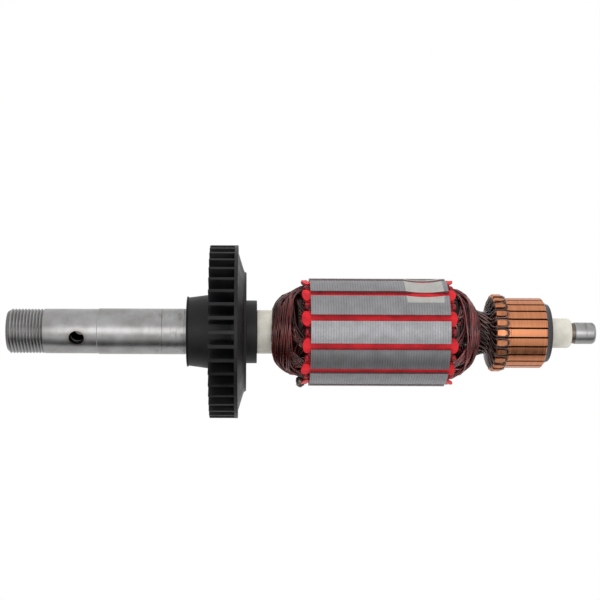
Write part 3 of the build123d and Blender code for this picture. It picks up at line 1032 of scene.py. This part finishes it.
def end_plate_form(start, stop):
    """The core's star without its wide tips, its teeth ending in round tips."""
    outline = []
    for number in range(slot_count):
        angle = slot_pitch * (number + 0.5)
        side = [(r, slot_half(r)) for r in (plate_side_r, knee_r, slot_floor_r)]
        outline += [turned_point(r, w, angle) for r, w in both_sides(side)]
        tooth = angle + slot_pitch / 2
        for step in range(1, tip_steps):
            swing = pi * step / tip_steps
            tip = (plate_rim_r - tip_reach + tip_reach * sin(swing), -tip_half * cos(swing))
            outline.append(turned_point(*tip, tooth))
    return section_block([outline, bore], start, stop)


for node in ("front_end_insulator", "rear_end_insulator"):
    plate = new_piece(node + "_board", end_plate_form(*along(node)), dark_fibre, 30)
    fit(plate, "red_insulation", node)

# %% [markdown]
# Dipping varnish ran to the tips of the boards and dried there as drops, and one lump of it holds
# a stray wire end under the front head. Each is a sphere with half sizes of its own. The lump is
# then pushed about by noise, because it dried on loose wires. That noise takes a fixed seed first,
# or it would differ from run to run.

# %% Varnish beads on the tips
bead_size = (1.0, 1.35, 1.1)
bead_r = 18.3
bead_reach = 1.3
knot_spot = (core_front_x - 3.1, 18.4, 90)
knot_size = (1.8, 1.6, 2.1)
knot_lump = 0.9
knot_push = 0.7


def bead(name, spot, size, material):
    """A round drop with its own half sizes along X, across and out."""
    form = bmesh.new()
    bmesh.ops.create_uvsphere(form, u_segments=16, v_segments=10, radius=1)
    for vertex in form.verts:
        x, across, out = (c * half for c, half in zip(vertex.co, size))
        swing = degrees(across / spot[1])
        vertex.co = place(spot[0] + x, spot[1] + out, spot[2] + swing)
    return new_piece(name, form, material, 80)


for side, bead_x in (("front", core_front_x - bead_reach), ("rear", core_back_x + bead_reach)):
    beads = bead(side + "_tip_beads", (bead_x, bead_r, 0), bead_size, drop_fibre)
    repeat(beads, slot_count, 0)
    fit(beads, "red_insulation", side + "_end_insulator")

knot = bead("varnish_knot", knot_spot, knot_size, dried_varnish)
noise.seed_set(7)
for vertex in knot.data.vertices:
    vertex.co += noise.noise_vector(vertex.co / (knot_lump * mm)) * knot_push * mm
fit(knot, "copper_winding", "coil_12")

# %% [markdown]
# ## The windings
# Twelve coils cross each end of the core. Each leaves a slot, bends over the end of the core, runs
# as a straight chord to the shaft, wraps round it and goes on to a slot five places away. The
# first pair of coils lies lowest, and each later pair crosses over it, turned by one slot. So a
# wire's height is a share of the finished head's height at that radius: a low share for the first
# pair and nearly one for the last. The whole path follows from a slot, a height share, and how
# close the wire passes to the shaft.

# %% Shape of a head
coil_span = 5 * slot_pitch
layer_count = slot_count // 2
rows_a_layer = 2
row_drop = 0.28
wires_a_bundle = 4
bundle_spread = (13, 0.5, 1.5)
wire_d = 0.66
wire_spacing = 0.95
pass_limit_r = 15.5
slot_reach = 1.5
face_lift = 0.6
coil_lean = 6.0
head_tilt = 0.05
shoulder = 1.3
looseness = 0.2
chord_steps = 5
wander = random.Random(11)


def head_height(r, height, rim_r, fullness):
    """Height of the finished winding above the core at a radius: a dome cut off at its crown."""
    return min(height, 1.13 * height * sqrt(max(0.03, 1 - (r / rim_r) ** fullness)))


def head_path(middle, share, pass_r, slot_r, head, skew, rise):
    """Points (height, r, angle) of one wire over a head, from slot to slot.

    Skew, in degrees, and rise, in millimetres, are what its bundle strays by.
    """
    half_span = coil_span / 2
    lean = wander.uniform(-coil_lean, coil_lean)
    path = [(h, slot_r, lean - half_span) for h in (-slot_reach, face_lift)]
    reach = degrees(acos(min(1, pass_r / slot_r)))
    touch = half_span - reach
    swings = [reach * (1 - step / chord_steps) for step in range(chord_steps)]
    chord = [(pass_r / cos(radians(swing)), touch + swing) for swing in swings]
    wrap = [(pass_r, touch * (i / 3 - 1)) for i in range(7)]
    for r, angle in [(r, -a) for r, a in chord] + wrap + chord[::-1]:
        outwards = abs(angle) / half_span
        tilt = 1 + head_tilt * sin(radians(angle + middle))
        bow = rise * angle / half_span - shoulder * outwards**2
        level = share * tilt * head_height(r, *head) + bow
        level += wander.uniform(-looseness, looseness)
        r += wander.uniform(-looseness, looseness)
        bend = lean * outwards + skew * (1 - outwards)
        path.append((max(2 * face_lift, level), r, angle + bend))
    path += [(h, slot_r, half_span + lean) for h in (face_lift, -slot_reach)]
    return [(h, r, a + middle) for h, r, a in path]


def head_paths(head, near_r):
    """All the wires that can be seen on one head, in bundles that lie a little apart."""
    paths = []
    for layer in range(layer_count):
        across = 13 if layer == layer_count - 1 else 10
        for half in (0, 180):
            middle = slot_pitch * (layer - layer_count + 1) + half
            for row in range(rows_a_layer):
                share = (layer + 1 - row_drop * row) / layer_count
                for column in range(across):
                    if column % wires_a_bundle == 0:
                        skew, swell, rise = (wander.uniform(-a, a) for a in bundle_spread)
                    pass_r = near_r + wire_d * wire_spacing * (column + 0.5 * row) + swell
                    pass_r = min(pass_r, pass_limit_r)
                    if layer:
                        slot_r = 14.4 + 3.1 * ((column + 5 * row) % across) / across
                    else:
                        slot_r = 12.5 + column / across
                    slot_r = max(slot_r, pass_r + 0.5)
                    paths.append(head_path(middle, share, pass_r, slot_r, head, skew, rise))
    return paths


print("each coil spans", coil_span, "degrees, in", layer_count, "layers")

# %% [markdown]
# The wires are NURBS curves through those points, and a second small tree lays a round wire along
# each curve. Curve to Mesh gives a mesh with open ends buried in the slots, so it caps them.

# %% A tree that lays wire along curves
def wire_tree():
    """A round wire along each curve, its ends capped."""
    inputs = {"Geometry": "Geometry", "Diameter": "Float", "Sides": "Int", "Material": "Material"}
    tree, given = start_tree("Wire along a curve", inputs)
    section = add(tree, "circle", given["Sides"], add(tree, "multiply", given["Diameter"], 0.5))
    tube_of_wire = add(tree, "sweep", given["Geometry"], section, True)
    return end_tree(tree, add(tree, "smooth", tube_of_wire), given["Material"])


wire_along_curve = wire_tree()
print("tree", wire_along_curve.name, len(wire_along_curve.nodes), "nodes")


def wires(name, paths, diameter, sides, material, resolution=2):
    """A mesh of round wires along NURBS curves through points in metres."""
    curve = bpy.data.curves.new(name, "CURVE")
    curve.dimensions = "3D"
    for path in paths:
        spline = curve.splines.new("NURBS")
        spline.points.add(len(path) - 1)
        for point, spot in zip(spline.points, path):
            point.co = (*spot, 1)
        spline.order_u = 3
        spline.use_endpoint_u = True
        spline.resolution_u = resolution
    route = new_object(name + " route", curve)
    modifier = route.modifiers.new("Wire", "NODES")
    modifier.node_group = wire_along_curve
    set_inputs(modifier, {"Diameter": diameter * mm, "Sides": sides, "Material": material})
    mesh = plain_mesh(route, name)
    bpy.data.objects.remove(route)
    return new_object(name, mesh)


# %% Wind both heads
wire_sides = 6
under_r = 14.8
under_share = 0.42
under_steps = 12


def wind_head(name, face_x, outward, head, near_r, material):
    """The wires of one head, and a near-black body under them: varnish-soaked turns, and painted
    shade.
    """
    paths = []
    for path in head_paths(head, near_r):
        paths.append([place(face_x + outward * h, r, a) for h, r, a in path])
    fit(wires(name, paths, wire_d, wire_sides, material), "copper_winding", *coil_nodes)
    base_x = face_x + outward * 0.2
    inner_r = near_r - 0.3
    outline = [(base_x, inner_r), (base_x, under_r)]
    for step in range(under_steps + 1):
        r = under_r + (inner_r - under_r) * step / under_steps
        level = under_share * head_height(r, *head)
        outline.append((face_x + outward * level, r))
    # The body under the wires is near black: painted shade between the strands.
    under = new_piece(name + "_under", lathe(outline, 72), varnish, 60)
    fit(under, "copper_winding", *coil_nodes)


plate_t = 1
front_head = (12.7, 16.7, 3.2)
rear_head = (11.3, 17.1, 2.2)
wind_head("front_head_wires", core_front_x - plate_t, -1, front_head, 8.55, wire)
wind_head("rear_head_wires", core_back_x + plate_t, 1, rear_head, 7.6, lighter_painted_rear_wire)

# %% [markdown]
# Between the heads the coils lie packed in the slots, soaked in varnish. They show only at the
# core's faces, under the ends of the wedges, so one plain bar fills each slot inside its liner.

# %% Fill the slots
fill_top_r = 18.2
fill_gap = liner_gap + liner_wall + 0.06


def slot_fill_form():
    """A bar of the slot's own section, with room for the liner round it."""
    heights = (liner_floor_r + liner_wall + fit_gap, knee_r, fill_top_r)
    half = [(r, slot_half(r) - fill_gap) for r in heights]
    loop = [turned_point(r, w, 0) for r, w in both_sides(half)]
    return section_block([loop], core_front_x - 1.7, core_back_x + 1.4)


# Near black: packed varnished coils, and painted shade in the slots.
fill = new_piece("slot_fill", slot_fill_form(), varnish, 30)
repeat(fill, slot_count, slot_pitch / 2)
fit(fill, "copper_winding", *coil_nodes)

# %% [markdown]
# ## The commutator
# Each bar is a slice of a turned ring, with a hook at its inner end that is folded back over the
# wire. One bar is lathed through its own small angle, one hook is built as a folded strip, and the
# tree copies each of them all round. The resin body fills the middle and shows as a dark end ring.

# %% Commutator bars
track_r = 13.0
groove_angle = 2.9
bar_angle = bar_pitch - groove_angle
riser_r = track_r + 0.15
bar_root_r = 9.7
bar_outline = [
    (hook_x, bar_root_r),
    (hook_x, riser_r),
    (hook_x + 5.2, riser_r),
    (hook_x + 5.35, track_r),
    (bar_end_x - 0.9, track_r),
    (bar_end_x - 0.35, 12.2),
    (bar_end_x - 0.6, bar_root_r),
]
softened_bar = soften(bar_outline + [bar_outline[0]], 0.12, 2)[:-1]
bar_form = lathe(softened_bar, 8, start=-bar_angle / 2, sweep=bar_angle)
bars = new_piece("commutator_bars", bar_form, copper, 30)
repeat(bars, bar_count, 0)
fit(bars, "bar_copper", *bar_nodes)


# %% Hooks
hook_width = 2.1
hook_outer = [(0.0, 12.9), (0.0, 13.7), (0.12, 14.1), (0.45, 14.28), (1.2, 14.3), (2.6, 14.3),
              (3.2, 14.3), (3.75, 14.1)]
hook_inner = [(3.8, 13.75), (3.2, 13.8), (1.3, 13.8), (0.75, 13.7), (0.6, 13.4), (0.6, 12.9)]


def hook_form():
    """A copper strip that stands up at the bar's inner end and folds back along it."""
    form = bmesh.new()
    sides = []
    for across in (-hook_width / 2, hook_width / 2):
        loop = []
        for x, r in hook_outer + hook_inner:
            pinch = 1 - 0.35 * max(0.0, (x - 2.6) / 1.2, (0.6 - x) / 0.9) ** 2
            loop.append(form.verts.new(Vector((hook_x + x, -r, across * pinch)) * mm))
        sides.append(loop)
    skin(form, sides)
    rims = [edge for edge in form.edges if edge.verts[0].co.z * edge.verts[1].co.z > 0]
    bmesh.ops.bevel(form, geom=rims, offset=0.16 * mm, segments=2, affect="EDGES")
    return form


hooks = new_piece("commutator_hooks", hook_form(), copper, 40)
repeat(hooks, bar_count, 0)
fit(hooks, "bar_copper", *bar_nodes)

# %% Resin body
resin_bore_r = rear_seat_r + fit_gap
resin_r = bar_root_r - 0.1
resin_outline = [
    (resin_x, resin_bore_r),
    (resin_x, resin_r),
    (bar_end_x - 0.58, resin_r),
    (bar_end_x - 0.32, 12.1),
    (bar_end_x + 0.9, 10.85),
    (resin_end_x, 10.65),
    (resin_end_x, resin_bore_r),
]
body = new_piece("commutator_body", lathe(soften(resin_outline, 0.3), 128), resin, 40)
fit(body, "resin", "commutator_moulding")

# %% [markdown]
# ## The leads
# A wire comes up to every bar from the head, loops round under the hook and goes back. Between the
# head and the hooks the wires lie packed round the neck with a twist, and they flare up to the
# hooks like a cone of spokes. They are the same wire as the coils, laid by the same tree. A turned
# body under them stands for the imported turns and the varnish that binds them.

# %% Leads and hook loops
lead_d = 0.68
loops = []
for bar in range(bar_count):
    angle = bar * bar_pitch
    legs = []
    for side in (-1, 1):
        twist = 34 + 8 * side
        legs.append([
            (core_back_x + 10.0, 9.6, angle - twist - 12),
            (core_back_x + 12.2, 8.1, angle - twist),
            (core_back_x + 15.8, 7.35 + 0.15 * side, angle - twist * 0.45),
            (core_back_x + 16.4, 9.4, angle - 4 + side * 4),
            (core_back_x + 16.9, 11.8, angle + side * 5.0),
            (core_back_x + 17.4, 13.1, angle + side * 5.8),
            (hook_x + 0.9, 13.35, angle + side * 5.8),
            (hook_x + 3.0, 13.4, angle + side * 5.7),
            (hook_x + 4.1, 13.6, angle + side * 4.4),
        ])
    apex = [(hook_x + 4.5, 13.7, angle)]
    loops.append([place(*spot) for spot in legs[0] + apex + legs[1][::-1]])
leads = wires("commutator_leads_wound", loops, lead_d, 8, lead_wire, 3)
fit(leads, "copper_winding", "commutator_leads")
neck_bore_r = core_seat_r + 2 * fit_gap
neck_outline = [
    (core_back_x + 9.0, neck_bore_r),
    (core_back_x + 9.0, 8.2),
    (core_back_x + 12.4, 7.4),
    (core_back_x + 16.1, 7.1),
    (core_back_x + 16.8, 11.0),
    (core_back_x + 17.2, 12.2),
    (hook_x - 0.3, 12.4),
    (hook_x - 0.05, bar_root_r),
    (resin_x - 0.1, neck_bore_r),
]
# Near black: the binding varnish, and painted shade under the leads.
neck = new_piece("neck_binding", lathe(soften(neck_outline, 0.4), 96), varnish, 50)
fit(neck, "copper_winding", "rear_insulating_sleeve")

# %% [markdown]
# ## Floor, light and camera
# The rotor is held level in the air, as it is between its bearings, over a plain pale floor. The
# photograph has a white ground, so the floor and the world show white to the camera. Metal looks
# like what stands round it: a broad soft light above gives the top of the shaft its even grey, a
# light near the camera makes the bright band along its middle, and a dark card low in front gives
# the dark band under it.

# %% Floor
floor_z = cad_low.z - 90 * mm


def sheet(name, width, depth, centre, material):
    """A level rectangle of the stage, in metres."""
    mesh = bpy.data.meshes.new(name)
    x, y, z = centre
    w, d = width / 2, depth / 2
    corners = [(x - w, y - d, z), (x + w, y - d, z), (x + w, y + d, z), (x - w, y + d, z)]
    mesh.from_pydata(corners, [], [(0, 1, 2, 3)])
    mesh.materials.append(material)
    piece = new_object(name, mesh)
    return piece


def white_to_the_camera(tree, plain, output):
    """Show white to the camera and in gloss and glass, and keep the plain light for the rest."""
    seen = 0.0
    for kind_of_ray in ("Is Camera Ray", "Is Glossy Ray", "Is Transmission Ray"):
        seen = add(tree, "maximum", seen, add(tree, "ray", out=kind_of_ray))
    white = add(tree, "glow", (1, 1, 1, 1), 1.0)
    tree.links.new(add(tree, "shader", seen, plain, white), output.inputs["Surface"])


def pale_floor():
    pale = linear("#F2F2F2")
    material, tree, shader = start_material("pale floor", Roughness=0.9, Base_Color=pale)
    white_to_the_camera(tree, shader.outputs[0], tree.nodes["Material Output"])
    return material


sheet("floor", 6, 6, (0, 0, floor_z), pale_floor())
print("floor at z", round(floor_z / mm, 1), "mm")


# %% Dark card
def dark_card():
    """Black under the spindle, and paler towards the camera. The places are metres along Y."""
    material, tree, shader = start_material("dark card", Roughness=1.0)
    y = add(tree, "split", add(tree, "where"), out="Y")
    fade = add(tree, "range", y, -0.13, -0.05)
    tone = add(tree, "mix", fade, linear("#C0C0C0"), linear("#0C0C0C"))
    dress(tree, shader, Base_Color=tone)
    return material


card_z = floor_z + 7 * mm
card = sheet("dark_card", 0.9, 0.115, (0.04, -0.0775, card_z), dark_card())
for ray in ("camera", "diffuse", "shadow", "transmission"):
    setattr(card, "visible_" + ray, False)
print("card at z", round(card_z / mm, 1), "mm, seen only in reflections")

# %% World and lamps
world = bpy.data.worlds.new("soft studio")
bpy.context.scene.world = world
world.use_nodes = True
world_nodes = world.node_tree.nodes
studio = world_nodes["Background"]
studio.inputs["Color"].default_value = (1, 1, 1, 1)
studio.inputs["Strength"].default_value = 0.5
white_to_the_camera(world.node_tree, studio.outputs[0], world_nodes["World Output"])


def lamp(name, watts, width, height, spot, target):
    """A soft rectangular lamp that faces a target."""
    light = bpy.data.lights.new(name, "AREA")
    light.shape = "RECTANGLE"
    light.size, light.size_y = width, height
    light.energy = watts
    placed = new_object(name, light)
    placed.location = spot
    placed.rotation_euler = (Vector(target) - Vector(spot)).to_track_quat("-Z", "Y").to_euler()
    print(name, watts, "W")
    return placed


middle = ((cad_low.x + cad_high.x) / 2, 0, 0)
overhead = lamp("overhead softbox", 14.0, 1.6, 1.6, (middle[0], -0.2, 1.2), middle)
overhead.visible_glossy = False
lamp("front strip", 2.0, 0.9, 0.36, (middle[0], -0.8, 0.06), middle)

# %% Camera
photo_scale = 0.3725
view_distance = 465.0
frame_pixels = 600
axis_column, axis_row = 248.0, 331.8
sensor = 36.0
camera_x = 22.6
roll = -0.25
camera_data = bpy.data.cameras.new("camera")
camera = new_object("camera", camera_data)
camera_data.sensor_width = sensor
camera_data.lens = sensor * view_distance / (frame_pixels * photo_scale)
camera_data.shift_x = (frame_pixels / 2 - axis_column) / frame_pixels
camera_data.shift_y = (axis_row - frame_pixels / 2) / frame_pixels
camera.location = (camera_x * mm, -view_distance * mm, 0)
camera.rotation_euler = (radians(90), radians(roll), 0)
bpy.context.scene.camera = camera
bpy.context.scene.view_settings.view_transform = "Standard"
print("lens", round(camera_data.lens, 1), "mm")
